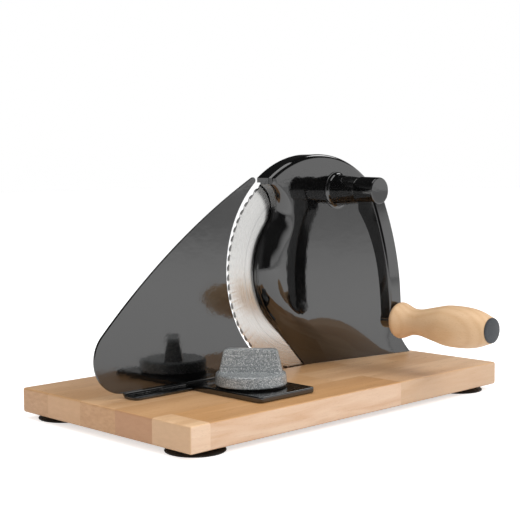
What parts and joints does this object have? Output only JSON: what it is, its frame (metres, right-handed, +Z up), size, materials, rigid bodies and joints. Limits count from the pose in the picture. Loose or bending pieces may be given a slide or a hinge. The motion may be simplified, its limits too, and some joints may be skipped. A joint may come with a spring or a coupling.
{
  "type": "manual bread slicer",
  "caption": "Manual bread slicer: beech board, gloss black cast housing, hand crank geared to a round blade, and a stop plate clamped by a knob.",
  "frame": {"origin": "on the table plane, under the middle of the board", "axes": "+Z up, +X along the board from the clamp's end to the crank's end, +Y from the operator's crank side to the bread's side"},
  "size_m": [0.345, 0.2542, 0.2007],
  "materials": {
    "beech": "oiled",
    "turned_beech": "oiled",
    "black_enamel": "gloss",
    "black_rubber": "matte",
    "ground_steel": "satin",
    "zinc_steel": "satin",
    "bright_steel": "polished",
    "grey_cast": "matte",
    "brass": "satin",
    "hammertone_grey": "semi-gloss",
    "slate_plastic": "matte"
  },
  "bodies": {
    "frame": {"board": "beech", "foot_near_left": "black_rubber", "foot_near_right": "black_rubber", "foot_far_left": "black_rubber", "foot_far_right": "black_rubber", "foot_screw_near_left": "zinc_steel", "foot_screw_near_right": "zinc_steel", "foot_screw_far_left": "zinc_steel", "foot_screw_far_right": "zinc_steel", "housing": "black_enamel", "housing_screw_1": "zinc_steel", "housing_screw_2": "zinc_steel", "housing_screw_3": "zinc_steel", "crank_bushing": "brass", "thrust_washer": "bright_steel", "blade_axle": "zinc_steel", "axle_washer": "bright_steel", "axle_screw": "bright_steel", "clamp_bolt": "zinc_steel", "clamp_washer": "bright_steel", "guide_pin": "zinc_steel"},
    "crank": {"crank_shaft": "zinc_steel", "drive_pinion": "zinc_steel", "pinion_key": "zinc_steel", "retaining_ring": "bright_steel", "crank_arm": "black_enamel", "crank_grub_screw": "zinc_steel", "grip_spindle": "bright_steel", "grip_washer": "bright_steel", "spindle_nut": "zinc_steel"},
    "grip": {"grip": "turned_beech", "grip_cap": "slate_plastic"},
    "cutter": {"blade": "ground_steel", "blade_gear": "grey_cast", "blade_screw_1": "bright_steel", "blade_screw_2": "bright_steel", "blade_screw_3": "bright_steel"},
    "stop": {"stop_plate": "black_enamel", "slide_base": "black_enamel", "slide_rivet_1": "zinc_steel", "slide_rivet_2": "zinc_steel"},
    "knob": {"clamp_knob": "hammertone_grey", "knob_insert": "brass"}
  },
  "joints": [
    {"name": "crank_turn", "type": "hinge", "parent": "frame", "child": "crank", "pos_m": [0.0763, 0.0105, 0.1705], "axis": [0, -1, 0], "continuous": true},
    {"name": "blade_spin", "type": "hinge", "parent": "frame", "child": "cutter", "pos_m": [0.048, 0.0105, 0.1061], "axis": [0, -1, 0], "continuous": true},
    {"name": "grip_spin", "type": "hinge", "parent": "crank", "child": "grip", "pos_m": [0.08354, -0.0634, 0.06505], "axis": [0, -1, 0], "continuous": true},
    {"name": "plate_slide", "type": "slide", "parent": "frame", "child": "stop", "axis": [0, 1, 0], "range_m": [-0.0125, 0.0035]},
    {"name": "knob_turn", "type": "hinge", "parent": "frame", "child": "knob", "pos_m": [-0.06185, -0.0399, 0.0294], "axis": [0, 0, 1], "range_deg": [0, 180]}
  ],
  "couplings": [
    {"joint": "blade_spin", "follows": "crank_turn", "ratio": -0.45833}
  ]
}
